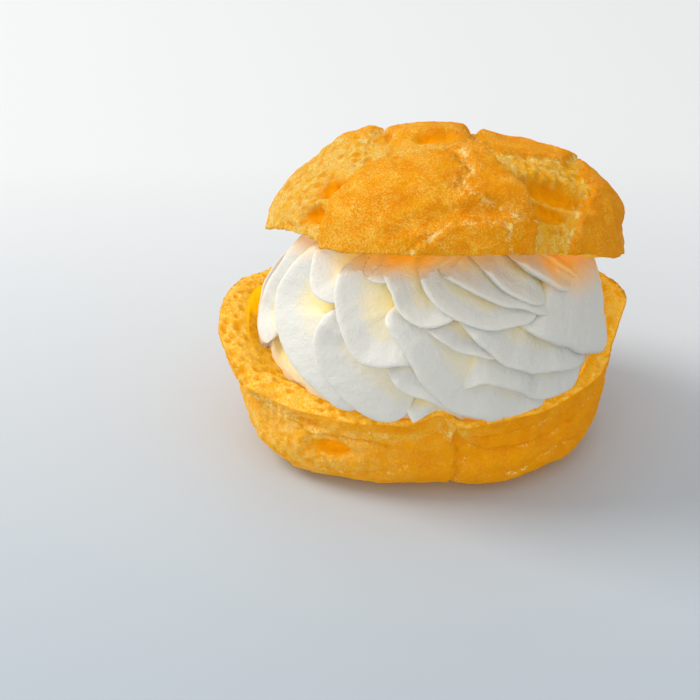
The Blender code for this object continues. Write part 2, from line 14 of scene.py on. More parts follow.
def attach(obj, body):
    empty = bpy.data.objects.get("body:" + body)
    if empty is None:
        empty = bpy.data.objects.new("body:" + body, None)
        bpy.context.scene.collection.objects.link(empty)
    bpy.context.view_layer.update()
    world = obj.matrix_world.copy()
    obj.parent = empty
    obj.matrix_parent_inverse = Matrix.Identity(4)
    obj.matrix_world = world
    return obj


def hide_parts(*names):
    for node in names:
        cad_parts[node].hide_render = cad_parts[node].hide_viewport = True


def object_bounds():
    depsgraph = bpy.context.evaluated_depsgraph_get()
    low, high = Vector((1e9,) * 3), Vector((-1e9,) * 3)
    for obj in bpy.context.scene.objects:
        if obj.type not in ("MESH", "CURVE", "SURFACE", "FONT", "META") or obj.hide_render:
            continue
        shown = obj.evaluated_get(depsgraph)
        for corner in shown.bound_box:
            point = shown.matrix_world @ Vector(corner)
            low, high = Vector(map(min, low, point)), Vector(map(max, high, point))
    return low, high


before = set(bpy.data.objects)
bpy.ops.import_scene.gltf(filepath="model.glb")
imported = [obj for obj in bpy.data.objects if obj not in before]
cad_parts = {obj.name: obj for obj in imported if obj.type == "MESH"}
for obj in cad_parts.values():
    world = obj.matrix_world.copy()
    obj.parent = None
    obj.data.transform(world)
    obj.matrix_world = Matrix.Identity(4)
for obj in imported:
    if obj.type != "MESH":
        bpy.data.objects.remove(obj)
CAD_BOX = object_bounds()

MM = 0.001
CLEARANCE = 0.12  # between the cream and the choux that holds it
EDGE_CLEARANCE = 0.1  # between the cream and the torn edges that it passes

# The lower half. Its wall at each azimuth: the rim's outer radius and height, the wall's thickness, how much
# higher the rim's inner edge is than its outer one, and the radius of the belly low down
RIM = (
    (2, 47.4, 30.3, 7.2, -1.5, 41.8),
    (25, 45.0, 30.0, 6.0, -2.0, 41.5),
    (90, 43.0, 28.0, 5.0, 0.0, 39.0),
    (140, 45.0, 25.5, 5.0, -1.0, 41.0),
    (165, 46.8, 28.3, 5.5, -1.0, 42.0),
    (182, 46.6, 29.5, 5.8, -1.5, 42.5),
    (196, 46.8, 25.5, 6.5, -1.5, 42.8),
    (209, 45.8, 20.0, 8.0, 0.5, 42.8),
    (217, 42.5, 18.3, 7.0, 1.5, 42.0),
    (240, 40.0, 18.8, 5.0, 0.5, 39.5),
    (262, 38.8, 19.3, 3.4, -1.0, 37.3),
    (273, 39.0, 22.2, 4.0, -0.3, 37.5),
    (282, 39.3, 19.3, 3.2, -1.0, 37.5),
    (305, 41.0, 20.0, 3.5, -0.6, 39.5),
    (328, 42.8, 21.0, 4.0, -0.8, 41.3),
    (350, 43.2, 21.5, 5.0, -1.2, 41.6),
    (362, 47.4, 30.3, 7.2, -1.5, 41.8),
)
# The rise of the shelf of crumb inside it at each azimuth
SHELF = ((150, 4.5), (172, 23.5), (190, 23.0), (203, 21.5), (217, 19.0), (240, 17.5), (262, 4.5), (510, 4.5))
SHELF_RADIUS = 40.0
SHELF_SLOPE = 0.3  # at which the shelf falls from that radius towards the middle
FOOT_INSET = 10.0  # of the flat foot from the belly
BELLY_HEIGHT = 9.0
FLOOR_THICKNESS = 4.5
CUT_BULGE = 0.9  # of its cut face
WALL_LENGTH = 33.0  # along the wall from foot to rim, for measuring its relief

# The lid, in its own frame: its rim lies round z = 0 and its dome rises along +z
LID_CENTRE = (3.9, 0.0, 45.7)
LID_LEAN = 20  # degrees, front edge up
LID_ROLL = 1.5  # degrees, left edge up
LID_HALF_WIDTH = 40.0
LID_HALF_DEPTH = 39.0
LID_RISE = 22.8
LID_WALL = 5.0
LID_HOLLOW = 13.0
# The rise of its rim at each azimuth: its left part is torn higher, and a flap hangs at its right end
LID_EDGE = (
    (0, -0.5), (90, 0.0), (150, 0.8), (180, 1.9), (203, 2.7), (219, 2.2), (232, 0.1), (242, -0.6), (270, 0.1),
    (292, 0.4), (312, -0.2), (330, -1.6), (340, -1.2), (360, -0.5),
)

# The relief of the choux is laid out on a map. The lid's map is its dome seen from above, spread out so that
# lengths down its sides are true: x right, y back, its rim 40 from the middle. The bowl's map is its wall
# unrolled: x along the belly, 0 at azimuth 270, and y up the wall from the foot.
# A plate of crust: its outline, how far it stands out, and the width of its broken edge
LID_PLATES = (
    # the broad front plate
    (
        ((-33, -40), (-26.2, -29.1), (-23.3, -26.1), (-21, -24), (-18.3, -21.4), (-16, -19.8), (-13.8, -17.5),
         (-11.9, -16.8), (-9, -16.8), (-6.4, -17.5), (-3.7, -17.4), (-1, -16), (1, -14.2), (2.4, -12.9),
         (3.9, -15.3), (5.9, -18.2), (8, -20.6), (9.5, -22.5), (10.9, -25), (12.7, -28.3), (14.4, -32.4),
         (16.5, -38), (0, -52)),
        2.4, 1.1,
    ),
    # its right half, standing a little higher
    (
        ((2.4, -12.9), (1.3, -17), (0.8, -20.4), (2, -23), (0.1, -25.9), (4, -29), (9, -31), (14, -31), (9, -19)),
        0.9, 1.0,
    ),
    # the small lobe along its lower edge
    (((-8.3, -42), (-8, -38.6), (-5.3, -36.4), (-1.8, -34.7), (2.2, -34), (8.8, -33.3), (12, -46), (0, -50)),
     1.0, 0.9),
    # behind the crown to the right
    (((4, -9.5), (7.7, -11.5), (12.7, -10.3), (17, -8), (20, -1), (14, 8), (4, 4)), 0.9, 1.2),
    # the right flank
    (
        ((18.5, -3), (18.9, -10.4), (21.3, -11.4), (22.7, -16.5), (21.7, -22.4), (22.1, -26.7), (23.7, -33),
         (48, -30), (48, 12), (26, 12)),
        1.1, 1.3,
    ),
    # the left shoulder
    (((-17, 4), (-14, -5), (-10.5, -9), (-8.5, -4), (-8.5, 8), (-14, 10)), 0.8, 1.2),
)
# A swelling or, where it is negative, a hollow: middle, half-length, half-width, turn in degrees, lift
LID_SWELLINGS = (
    (-2.5, -5.0, 7.5, 8.0, 0, 4.2),  # the knob on the crown
    (-2.3, -10.4, 2.7, 1.6, 0, -2.4),  # its navel
    (-13.5, -1.0, 5.5, 8.0, 0, 3.2),  # the left shoulder
    (-22, 1, 6.0, 9.0, 0, 1.2),
    (8.0, 1.0, 4.5, 7.0, 0, 0.9),
    (15.5, -1.5, 5.0, 8.0, 0, 2.1),
    (24.5, -5.0, 7.5, 11.0, 0, 2.5),  # the right flank
    (-4, -27, 19.0, 13.0, 0, 2.2),  # the front plate's own dome
    (16.3, -19.4, 7.4, 3.4, 20, -4.2),  # smooth hollows that the crust has torn away from
    (16.4, -25.8, 4.6, 2.4, 24, -2.8),
    (-19.5, -17.8, 4.2, 2.8, -42, -3.0),
    (-25.2, -22.8, 3.6, 2.0, -38, -3.0),
    (-1.0, -32.0, 9.0, 1.8, 11, -1.1),
    (5.0, -30.0, 3.6, 2.0, 8, -0.9),
    (-6, 22, 12, 9, 0, 2.0),
    (18, 24, 10, 8, 30, 1.8),
    (-28, 14, 8, 9, 20, 1.6),
    (34, 8, 6, 10, 0, 1.0),
    (6, 14, 5, 3, 50, -1.6),
    (-15, 31, 6, 2.5, 15, -1.5),
)
# A crack: its run, half-width and depth
LID_CRACKS = (
    (((-0.4, -17.6), (0.4, -20.4), (1.4, -23.5), (0.1, -25.9)), 0.6, 0.9),
    (((3.6, -10), (3.6, 0), (5, 12), (2, 24), (8, 40)), 0.9, 1.4),
    (((-8.2, -8), (-8.3, 4), (-18, 12), (-20, 24), (-28, 30)), 0.8, 1.4),
    (((5, 12), (18, 12), (28, 18), (38, 16)), 0.9, 1.2),
)
BASE_SWELLINGS = (
    (-7, 17, 8, 9, 0, 0.9),
    (25, 11, 17, 9, 0, 1.5),
    (-33, 11, 11, 9, 0, 1.3),
    (6, 31, 2.6, 3.0, 0, 1.2),  # the knob at the top of the crease
    (-22.5, 16, 4.5, 3.6, 10, -2.2),  # the deep pit
    (-29, 27, 4.5, 2.0, -10, -1.6),
    (-52, 29, 10, 6, 0, 0.8),
    (60, 16, 14, 11, 0, 1.0),
    (98, 18, 13, 12, 0, 1.3),
    (-96, 16, 15, 11, 0, 1.2),
    (-68, 12, 9, 8, 0, 0.9),
    (128, 16, 12, 9, 0, 1.0),
)
BASE_CRACKS = (
    (((6.5, 31), (6, 22), (7, 14), (6.5, 0)), 0.9, 1.5),
    (((6.5, 25), (12, 20), (20, 18), (27, 18), (36, 20), (44, 24)), 0.8, 1.0),
    (((-42, 26), (-49, 23), (-56, 22.5), (-63, 24)), 1.7, 3.0),
    (((44, 24), (56, 21), (72, 26)), 0.8, 1.1),
    (((10, 27), (16, 25), (24, 26), (33, 28)), 0.5, 0.7),
    (((12, 10), (20, 9), (30, 12), (40, 11)), 0.5, 0.7),
    (((-6, 12), (-14, 9), (-24, 8), (-30, 9)), 0.6, 0.9),
    (((-9, 21), (-18, 24), (-25, 22)), 0.5, 0.8),
    (((-26, 12), (-29, 16), (-27, 21), (-32, 25)), 0.6, 0.9),
    (((78, 33), (80, 20), (76, 8)), 0.9, 1.2),
    (((-80, 33), (-83, 18), (-78, 6)), 0.9, 1.2),
    (((113, 33), (114, 16), (110, 5)), 0.9, 1.2),
)
# Pale patches on the bowl's map, where the crust has stretched: middle, half-length, half-width, turn, strength
BASE_PALE = (
    (-35, 17, 25, 15, 0, 0.75),
    (-37, 28, 11, 5, -8, 1.0),
    (-29, 22, 6, 5, 0, 0.7),
    (-17, 13, 5, 4, 0, 0.5),
    (5, 29, 4, 4, 0, 1.0),
    (-12, 26, 12, 2.4, 0, 0.9),
)
# Ragged pale patches on it, where the crust has torn: the same
BASE_TORN = (
    (4, 27.5, 3.0, 6.0, 10, 0.9),
    (-38, 29, 9, 4.0, -8, 0.85),
    (-15, 28, 7, 2.6, 0, 0.75),
    (-26, 23, 5, 3.0, 30, 0.7),
    (-20, 11, 7, 1.6, 12, 0.6),
)

# The cream: petals laid over a mound
MOUND_CENTRE = (1.5, -2.0, 34.0)
MOUND_RADIUS = 38.5
CORE_DEPTH = 4.0  # of the mound's core below the petals' edges
SKIRT_DEPTH = 1.8  # the same low down
FILL_REACH = 14.0  # of the core, past the mound, into the bowl
FILL_LEVEL = 18.6  # up to which it fills the bowl
OVERHANG_SLOPE = 0.25  # at which cream that swells out rises from the bowl's rim
LID_SLOPE = 0.8  # and falls away from the lid's
# A full-sized petal's section: from its edge across to its root under the next petal's edge, which lies near 10,
# and outwards
PETAL_SECTION = (
    (0.0, 0.0), (0.05, 0.5), (0.45, 0.95), (1.3, 0.9), (3.2, -0.1), (6.0, -1.6), (9.5, -3.0), (13.0, -5.0),
    (15.5, -7.2), (12.0, -8.0), (8.0, -6.6), (4.5, -4.6), (1.6, -2.8), (0.2, -1.2),
)
LIP_LENGTH = 6.0  # over which a petal's end rounds off
LIP_MIDDLE = (4.5, -1.2)  # the place in the section that it narrows to
ROOT_LENGTH = 7.0  # over which a petal rises out of the one before it
ROOT_DEPTH = 3.5
TURN_EASE = 5  # the sections turn with the edge's mean direction over a fifth of its length each way
LID_COVER = 26  # a petal that starts above this elevation comes out from under the lid instead
LID_REACH = 14  # and starts so much higher
# Each front petal: its edge as it runs down to its lip, in azimuths and elevations in degrees from the mound's
# centre, and its breadth, 1 for full size
FRONT_PETALS = (
    (((203, 36), (197, 20), (190, 6), (188, -5), (196, -13)), 0.9),
    (((217, 35), (209, 22), (205, 12), (208, 4), (215, -4), (223, -10), (233, -16), (242, -22)), 1.3),
    (((218, 35), (220, 27), (222, 22), (226, 18), (233, 14)), 0.85),
    (((236, 19), (230, 10), (229, 2), (232, -5), (238, -12), (246, -18), (257, -23)), 1.25),
    (((250, 2), (255, -2), (259, -6), (266, -9), (273, -13), (279, -16), (286, -22)), 0.8),
    (((238, 37), (234, 25), (236, 16), (240, 8), (245, 2), (251, 1), (257, 2), (262, -1)), 1.05),
    (((238, 38), (241, 31), (246, 27), (253, 25)), 0.6),
    (((246, 38), (250, 30), (254, 24), (257, 19), (262, 16), (268, 15), (277, 17)), 0.65),
    (((256, 23), (253, 17), (255, 12), (259, 8), (262, 2), (267, -6), (274, -13), (284, -18), (295, -22), (310, -21)),
     1.25),
    (((261, 17), (266, 14), (272, 10), (277, 7), (283, 5), (290, 2)), 0.5),
    (((272, -6), (277, -7), (283, -4), (287, -5), (295, -9), (305, -15), (324, -18)), 0.9),
    (((274, 18), (277, 14), (282, 9), (288, 3), (296, -2), (305, -5), (313, -7), (325, -12)), 0.85),
    (((260, 39), (262, 32), (265, 26), (269, 21), (275, 17), (282, 14), (291, 13), (304, 13)), 0.7),
    (((263, 39), (269, 32), (276, 27), (283, 23), (290, 20), (298, 17), (307, 11)), 0.6),
    (((280, 39), (285, 31), (289, 26), (296, 21), (305, 15)), 0.6),
    (((294, 38), (300, 30), (306, 25), (320, 15)), 0.65),
    (((308, 38), (314, 30), (322, 22), (334, 15)), 0.6),
    (((320, 38), (328, 26), (338, 15), (350, 8)), 0.8),
    (((295, 15), (299, 10), (305, 6), (313, 1), (323, -5), (336, -11), (348, -14), (355, -11)), 1.35),
    (((334, 34), (342, 22), (350, 12), (360, 4)), 0.6),
    (((346, 13), (350, 3), (355, -5), (362, -8), (372, -5)), 1.1),
    (((257, -11), (261, -18), (267, -23), (277, -27)), 0.7),
)
# The rest go round the back by rule, lower towards the middle of the back, as the lid's rim is
BACK_PETALS = 9
BACK_BREADTH = 1.05
BACK_START = 354
BACK_END = 525
BACK_SWEEP = 34  # in azimuth
BACK_RISE = 28  # in elevation, of their starts at the sides
BACK_DROP = 20  # of their starts from the sides to the middle of the back
BACK_FALL = 44  # from their starts to their lips

# Painted light on the cream below the lid's rim, standing for light that comes down through the lid: at each
# azimuth its strength, and how far down it fades
PAINTED_LID_GLOW = (
    (180, 0.3, 5), (214, 0.5, 6), (228, 0.2, 4), (243, 0.5, 6), (251, 1.0, 5), (258, 1.0, 5), (266, 0.3, 4),
    (285, 0.2, 4), (300, 0.3, 5), (309, 0.9, 8), (320, 0.9, 9), (335, 0.6, 8), (360, 0.4, 6), (540, 0.3, 5),
)

CREASE = 35  # degrees, the least bend between the petals' faces that stays sharp
COLUMNS = 620  # of each choux mesh, round the bun

# Colours, linear
CRUST = (1.0, 0.36, 0.003)
# Browned crust, also used as painted shade that darkens the crust towards the right
CRUST_BROWNED_AND_SHADE = (0.84, 0.22, 0.002)
SPECKLE = (1.0, 0.63, 0.13)
STRETCHED = (1.0, 0.45, 0.003)  # where the crust has split and the crumb shows
CRUMB = (1.0, 0.74, 0.26)
# Deep orange of the smooth hollows, also used as painted shade in the deeper hollows and the crumb's pits
HOLLOW_AND_SHADE = (0.95, 0.33, 0.001)
INNER_SKIN = (1.0, 0.56, 0.004)
# Painted glow: the colour of an emission that stands in for light passing through the crumb
PAINTED_GLOW_COLOUR = (1.0, 0.46, 0.004)
PAINTED_GLOW_STRENGTH = 0.175  # strength of the painted glow, an emission that stands in for light passing through the choux
CREAM = (0.62, 0.61, 0.565)
# Painted shade: the yellow of the cream's furrows, standing in for shade and light bounced within the cream
CREAM_FURROW_SHADE = (0.88, 0.66, 0.15)
# Painted light: the orange tint and faint emission of the cream below the lid's rim
CREAM_PAINTED_GLOW = (0.95, 0.45, 0.012)
# Painted shade on the floor: darker and bluer towards the front, lighter towards the back
FLOOR_FRONT_SHADE = (0.37, 0.415, 0.46)
FLOOR_BACK = (0.62, 0.63, 0.64)

# The camera looks at the bun from in front, a little above
CAMERA_PLACE = (-17.0, -331.4, 195.7)
CAMERA_PITCH = 28.3  # degrees down
CAMERA_LENS = 82.3


def smooth_step(x):
    x = np.clip(x, 0.0, 1.0)
    return x * x * (3 - 2 * x)


def direction(azimuth, elevation):
    """Unit vectors at azimuths and elevations in radians."""
    flat = np.cos(elevation)
    return np.stack([flat * np.cos(azimuth), flat * np.sin(azimuth), np.sin(elevation)], -1)


def along_table(table, azimuth):
    """The columns of a table of azimuths in degrees, at azimuths in radians."""
    rows = np.array(table, float)
    degrees = (np.degrees(azimuth) - rows[0, 0]) % 360 + rows[0, 0]
    low = np.clip(np.searchsorted(rows[:, 0], degrees, side="right") - 1, 0, len(rows) - 2)
    share = smooth_step((degrees - rows[low, 0]) / (rows[low + 1, 0] - rows[low, 0]))
    return [rows[low, k] + (rows[low + 1, k] - rows[low, k]) * share for k in range(1, rows.shape[1])]


def noise_at(points, scale, seed):
    """Smooth noise between -1 and 1 at points, of about the given scale."""
    shift = Vector((seed * 7.3, seed * 3.1, seed * 5.7))
    flat = np.asarray(points).reshape(-1, 3) / scale
    values = [noise.noise(Vector(point) + shift) for point in flat.tolist()]
    return np.array(values).reshape(np.shape(points)[:-1])


def cells_at(points, scale, seed):
    """Distance to the nearest and the second nearest of scattered points of about the given spacing, in it."""
    shift = Vector((seed * 7.3, seed * 3.1, seed * 5.7))
    flat = np.asarray(points).reshape(-1, 3) / scale
    values = [noise.voronoi(Vector(point) + shift)[0][:2] for point in flat.tolist()]
    both = np.array(values).reshape(*np.shape(points)[:-1], 2)
    return both[..., 0], both[..., 1]


# ---------------------------------------------------------------- relief of the choux


def distance_to_run(place, run):
    """Distance of each place on a map from a line through the points of a run."""
    nearest = np.full(place.shape[:-1], np.inf)
    for start, end in zip(np.array(run[:-1], float), np.array(run[1:], float)):
        step = end - start
        share = np.clip(((place - start) @ step) / (step @ step), 0, 1)
        away = place - (start + share[..., None] * step)
        nearest = np.minimum(nearest, np.hypot(away[..., 0], away[..., 1]))
    return nearest


def inside_outline(place, outline):
    found = np.zeros(place.shape[:-1], bool)
    x, y = place[..., 0], place[..., 1]
    for (x0, y0), (x1, y1) in zip(outline, [*outline[1:], outline[0]]):
        if y0 != y1:
            crosses = (y0 > y) != (y1 > y)
            found ^= crosses & (x < x0 + (x1 - x0) * (y - y0) / (y1 - y0))
    return found


def swelling_height(place, x, y, length, width, turn):
    along = math.cos(math.radians(turn)), math.sin(math.radians(turn))
    dx, dy = place[..., 0] - x, place[..., 1] - y
    u = (dx * along[0] + dy * along[1]) / length
    v = (dy * along[0] - dx * along[1]) / width
    return np.exp(-((u * u + v * v) ** 1.6))


def relief(place, points, plates, swellings, cracks):
    """The relief at each place on a map: height in millimetres, and between 0 and 1 how far the place is on a
    plate, how near it is to a torn edge, and how deep it is in a hollow."""
    wander = np.stack([noise_at(points, 6, 1), noise_at(points, 6, 2)], -1) * 0.9
    wander += np.stack([noise_at(points, 2.4, 3), noise_at(points, 2.4, 4)], -1) * 0.6
    fray = np.stack([noise_at(points, 0.9, 5), noise_at(points, 0.9, 6)], -1) * 0.35
    ragged = place + wander + fray
    height = 0.9 * noise_at(points, 14, 5) + 0.35 * noise_at(points, 5, 6)
    on_plate = np.zeros(place.shape[:-1])
    torn = np.zeros(place.shape[:-1])
    hollow = np.zeros(place.shape[:-1])
    for outline, lift, width in plates:
        edge = distance_to_run(ragged, [*outline, outline[0]])
        inside = inside_outline(ragged, outline)
        height += lift * np.where(inside, smooth_step(edge / width), 0.0)
        on_plate = np.maximum(on_plate, np.where(inside, smooth_step(edge / 0.8), 0.0))
        torn = np.maximum(torn, np.exp(-((edge / 0.75) ** 2)))
        torn = np.maximum(torn, 0.45 * np.exp(-((edge / 3.2) ** 2)))
    for x, y, length, width, turn, lift in swellings:
        bump = swelling_height(place + wander * 0.4, x, y, length, width, turn)
        height += lift * bump
        if lift < 0:
            hollow = np.maximum(hollow, bump * np.clip(-lift - 1.2, 0, 1))
    for run, width, depth in cracks:
        gap = distance_to_run(ragged, run)
        height -= depth * np.exp(-((gap / width) ** 2))
        torn = np.maximum(torn, 0.7 * np.exp(-(((gap - width) / 0.5) ** 2)))
        torn = np.maximum(torn, 0.3 * np.exp(-((gap / 2.0) ** 2)))
    return height, on_plate, torn, hollow


# ---------------------------------------------------------------- meshes


def new_object(name, points, faces, material):
    mesh = bpy.data.meshes.new(name)
    mesh.from_pydata((np.asarray(points) * MM).tolist(), [], faces)
    mesh.materials.append(material)
    mesh.shade_smooth()
    obj = bpy.data.objects.new(name, mesh)
    bpy.context.scene.collection.objects.link(obj)
    return obj


def give(obj, **values):
    """Stores named values, one for each vertex, for the materials to read."""
    for name, value in values.items():
        attribute = obj.data.attributes.new(name, "FLOAT", "POINT")
        attribute.data.foreach_set("value", np.ascontiguousarray(value, np.float32))


def tube_faces(rings, sides, first=0):
    """Quads between rings of equal size."""
    faces = []
    for i in range(rings - 1):
        for j in range(sides):
            k = (j + 1) % sides
            low, high = first + i * sides, first + (i + 1) * sides
            faces.append((low + j, low + k, high + k, high + j))
    return faces


def ring_normals(rings):
    """Outward unit normals of a surface of rings."""
    around = np.roll(rings, -1, axis=1) - np.roll(rings, 1, axis=1)
    along = np.gradient(rings, axis=0)
    normal = np.cross(around, along)
    return normal / np.maximum(np.linalg.norm(normal, axis=-1, keepdims=True), 1e-9)


def closed_surface(name, start, rings, end, material, **values):
    """One closed object: a point, rings of points, and a point. The values are one for each point of a ring."""
    count, sides = rings.shape[:2]
    points = np.concatenate([[start], rings.reshape(-1, 3), [end]])
    faces = [(0, 1 + (j + 1) % sides, 1 + j) for j in range(sides)]
    faces += tube_faces(count, sides, first=1)
    last = len(points) - 1
    faces += [(last - sides + j, last - sides + (j + 1) % sides, last) for j in range(sides)]
    obj = new_object(name, points, faces, material)
    give(obj, **{k: np.concatenate([[v[0, 0]], v.ravel(), [v[-1, 0]]]) for k, v in values.items()})
    return obj


# ---------------------------------------------------------------- lower half


def outer_wall(azimuth, share):
    """The bowl's outside, from its foot (share 0) to its rim (share 1): its points and their relief."""
    radius, height, _, _, belly = along_table(RIM, azimuth)
    turn = np.clip(share / 0.35, 0, 1) * math.pi / 2
    climb = np.clip((share - 0.35) / 0.65, 0, 1)
    reach = belly - FOOT_INSET * (1 - np.sin(turn)) + (radius - belly) * climb**1.6
    points = direction(azimuth, 0 * azimuth) * reach[..., None]
    points[..., 2] = BELLY_HEIGHT * (1 - np.cos(turn)) + (height - BELLY_HEIGHT) * climb
    turned = (azimuth - math.radians(270) + math.pi) % math.tau - math.pi
    place = np.stack([turned * 40, share * WALL_LENGTH], -1)
    lift, _, torn, hollow = relief(place, points, (), BASE_SWELLINGS, BASE_CRACKS)
    lift *= smooth_step(share * 5)
    points += direction(azimuth, turn - math.pi / 2) * lift[..., None]
    points[..., 2] = np.maximum(points[..., 2], 0.15 * smooth_step(share * 40))
    pale = np.zeros(share.shape)
    for *patch, strength in BASE_PALE:
        pale = np.maximum(pale, strength * swelling_height(place, *patch))
    frayed = place + 2.5 * np.stack([noise_at(points, 2.5, 31), noise_at(points, 2.5, 32)], -1)
    for *patch, strength in BASE_TORN:
        torn = np.maximum(torn, strength * swelling_height(frayed, *patch))
    return points, pale, torn, hollow


def shelf_rise(azimuth, away):
    """Height of the shelf of crumb inside the wall, at distances from the middle."""
    return along_table(SHELF, azimuth)[0] - SHELF_SLOPE * np.maximum(0, SHELF_RADIUS - away)


def inner_wall(azimuth, share):
    """Points of the bowl's inside, from its rim (share 0) to the middle of its floor (share 1)."""
    radius, height, wall, step, _ = along_table(RIM, azimuth)
    height = height + step
    turn = share * math.pi / 2
    away = (radius - wall) * np.cos(turn) ** 0.8
    points = direction(azimuth, 0 * azimuth) * away[..., None]
    fall = height - (height - FLOOR_THICKNESS) * np.sin(turn) ** 0.8
    points[..., 2] = np.maximum(fall, np.minimum(shelf_rise(azimuth, away), height))
    return points


def in_bowl(points):
    """Whether the cream may be at each point: inside the bowl, or above its rim."""
    azimuth = np.arctan2(points[:, 1], points[:, 0])
    radius, height, wall, step, _ = along_table(RIM, azimuth)
    inner = radius - wall - CLEARANCE
    away = np.hypot(points[:, 0], points[:, 1])
    rim_top = height + np.maximum(0, step) + EDGE_CLEARANCE
    over_rim = points[:, 2] > rim_top + OVERHANG_SLOPE * np.maximum(0, away - inner)
    height = height + step
    down = np.maximum(0, (height - points[:, 2]) / (height - FLOOR_THICKNESS - CLEARANCE))
    over_shelf = points[:, 2] > np.minimum(shelf_rise(azimuth, away), height) + CLEARANCE
    return over_rim | (((away / inner) ** 2.5 + down**2.5 < 1) & over_shelf)


def roughen(rings, crust, cut, inside, torn):
    """The rings with the fine relief of baked crust, torn crumb and the smooth inner skin, and the crumb's pits."""
    normal = ring_normals(rings)
    near, _ = cells_at(rings * (1, 1, 0.8) + 0.5 * noise_at(rings, 1.6, 21)[..., None], 2.3, 3)
    pits = smooth_step((0.5 - near) / 0.3)
    fibre = noise_at(rings * (1, 1, 0.4), 1.1, 8)
    grain = noise_at(rings, 0.8, 9)
    lumps = noise_at(rings, 2.2, 11)
    height = crust * (0.13 * grain + 0.16 * lumps + 0.25 * noise_at(rings, 4.5, 13))
    height += (1 - crust) * (1 - cut) * (1 - inside) * (0.34 * fibre + 0.14 * grain + 0.3 * lumps - 0.45 * pits)
    height += cut * (0.50 * lumps + 0.35 * grain - 0.9 * pits)
    height += inside * (0.35 * noise_at(rings, 4.0, 12) - 0.2 * pits)
    height += torn * (1 - cut) * (1 - inside) * (0.35 * fibre + 0.3 * grain)
    return rings + normal * height[..., None], pits * (1 - crust) * (1 - inside)


def make_base(material):
    wall_rings, cut_rings, inner_rings = 76, 14, 22
    azimuths = np.linspace(0, math.tau, COLUMNS, endpoint=False)
    around, up = np.meshgrid(azimuths, np.linspace(0, 1, wall_rings) ** 0.9)
    outside, pale, torn, hollow = outer_wall(around, up)
    around, down = np.meshgrid(azimuths, np.linspace(0, 0.97, inner_rings))
    inner = inner_wall(around, down)
    across = np.linspace(0, 1, cut_rings + 2)[1:-1, None, None]
    cut_face = outside[-1] * (1 - across) + inner[0] * across
    cut_face[..., 2] += CUT_BULGE * np.sin(across[..., 0] * math.pi)
    rings = np.concatenate([outside, cut_face, inner])
    blank = np.zeros((cut_rings + inner_rings, COLUMNS))
    cut = np.concatenate([0 * pale, blank + 1])
    cut[wall_rings + cut_rings:] = 0
    inside = np.concatenate([0 * pale, blank + 1])
    inside[wall_rings:wall_rings + cut_rings] = 0
    reach = np.hypot(inner[..., 0], inner[..., 1])
    shelf = smooth_step((shelf_rise(around, reach) + 0.3 - inner[..., 2]) / 0.3 + 1)
    inside[wall_rings + cut_rings:] -= shelf
    cut[wall_rings + cut_rings:] = shelf
    crust = np.concatenate([1 - pale, blank])
    torn = np.concatenate([torn, blank])
    hollow = np.concatenate([hollow, blank])
    foot = smooth_step(rings[..., 2] / 1.5)[..., None]
    rough, pits = roughen(rings, crust, cut, inside, torn)
    rings = rings * (1 - foot) + rough * foot
    rings[0, :, 2] = 0
    return closed_surface(
        "choux_base_crust", (0, 0, 0), rings, (0, 0, FLOOR_THICKNESS), material,
        crust=crust, cut=cut, inside=inside, torn=torn, hollow=hollow, pits=pits,
    )


# ---------------------------------------------------------------- lid


def lid_placement():
    """From the lid's own frame in millimetres to the bun's."""
    lean = Euler((math.radians(-LID_LEAN), 0, 0)).to_matrix()
    roll = Euler((0, math.radians(LID_ROLL), 0)).to_matrix()
    return Matrix.Translation(LID_CENTRE) @ (roll @ lean).to_4x4()


def moved(points, placement):
    grid = np.array(placement)
    return points @ grid[:3, :3].T + grid[:3, 3]


def lid_edge(azimuth):
    """Rise of the lid's rim."""
    return along_table(LID_EDGE, azimuth)[0] + 0.3 * noise_at(direction(azimuth, 0 * azimuth) * 40, 5, 9)


def lid_outside(azimuth, share):
    """The lid's dome, from its crown (share 0) to its rim (share 1): its points and their relief."""
    turn = share * math.pi / 2
    toward = direction(azimuth, math.pi / 2 - turn)
    points = toward * (LID_HALF_WIDTH, LID_HALF_DEPTH, LID_RISE)
    points[..., 2] += lid_edge(azimuth) * share**3
    place = np.stack([40 * share * np.cos(azimuth), 40 * share * np.sin(azimuth)], -1)
    lift, on_plate, torn, hollow = relief(place, toward * 40, LID_PLATES, LID_SWELLINGS, LID_CRACKS)
    back = smooth_step((place[..., 1] + 4) / 12)
    knob = swelling_height(place, *LID_SWELLINGS[0][:5])
    crust = np.maximum(on_plate, np.maximum(back, smooth_step(knob * 1.6)))
    return points + toward * lift[..., None], crust, torn, hollow


def lid_inside(azimuth, share):
    """Points of the lid's underside, from its rim (share 0) to the top of its hollow (share 1)."""
    toward = direction(azimuth, share * math.pi / 2)
    points = toward * (LID_HALF_WIDTH - LID_WALL, LID_HALF_DEPTH - LID_WALL, LID_HOLLOW)
    points[..., 2] += lid_edge(azimuth) * (1 - share)
    return points


def under_lid(points, to_lid):
    """Whether the cream may be at each point: below the lid's rim, or inside its hollow."""
    local = moved(points, to_lid)
    edge = lid_edge(np.arctan2(local[:, 1], local[:, 0])) - EDGE_CLEARANCE
    room = np.array((LID_HALF_WIDTH - LID_WALL, LID_HALF_DEPTH - LID_WALL, LID_HOLLOW)) - CLEARANCE
    scaled = local / room
    beyond = LID_HALF_WIDTH * np.maximum(0, np.hypot(scaled[:, 0], scaled[:, 1]) - 1)
    scaled[:, 2] = np.maximum(0, scaled[:, 2])
    return (local[:, 2] < edge - LID_SLOPE * beyond) | ((scaled**2).sum(-1) < 1)


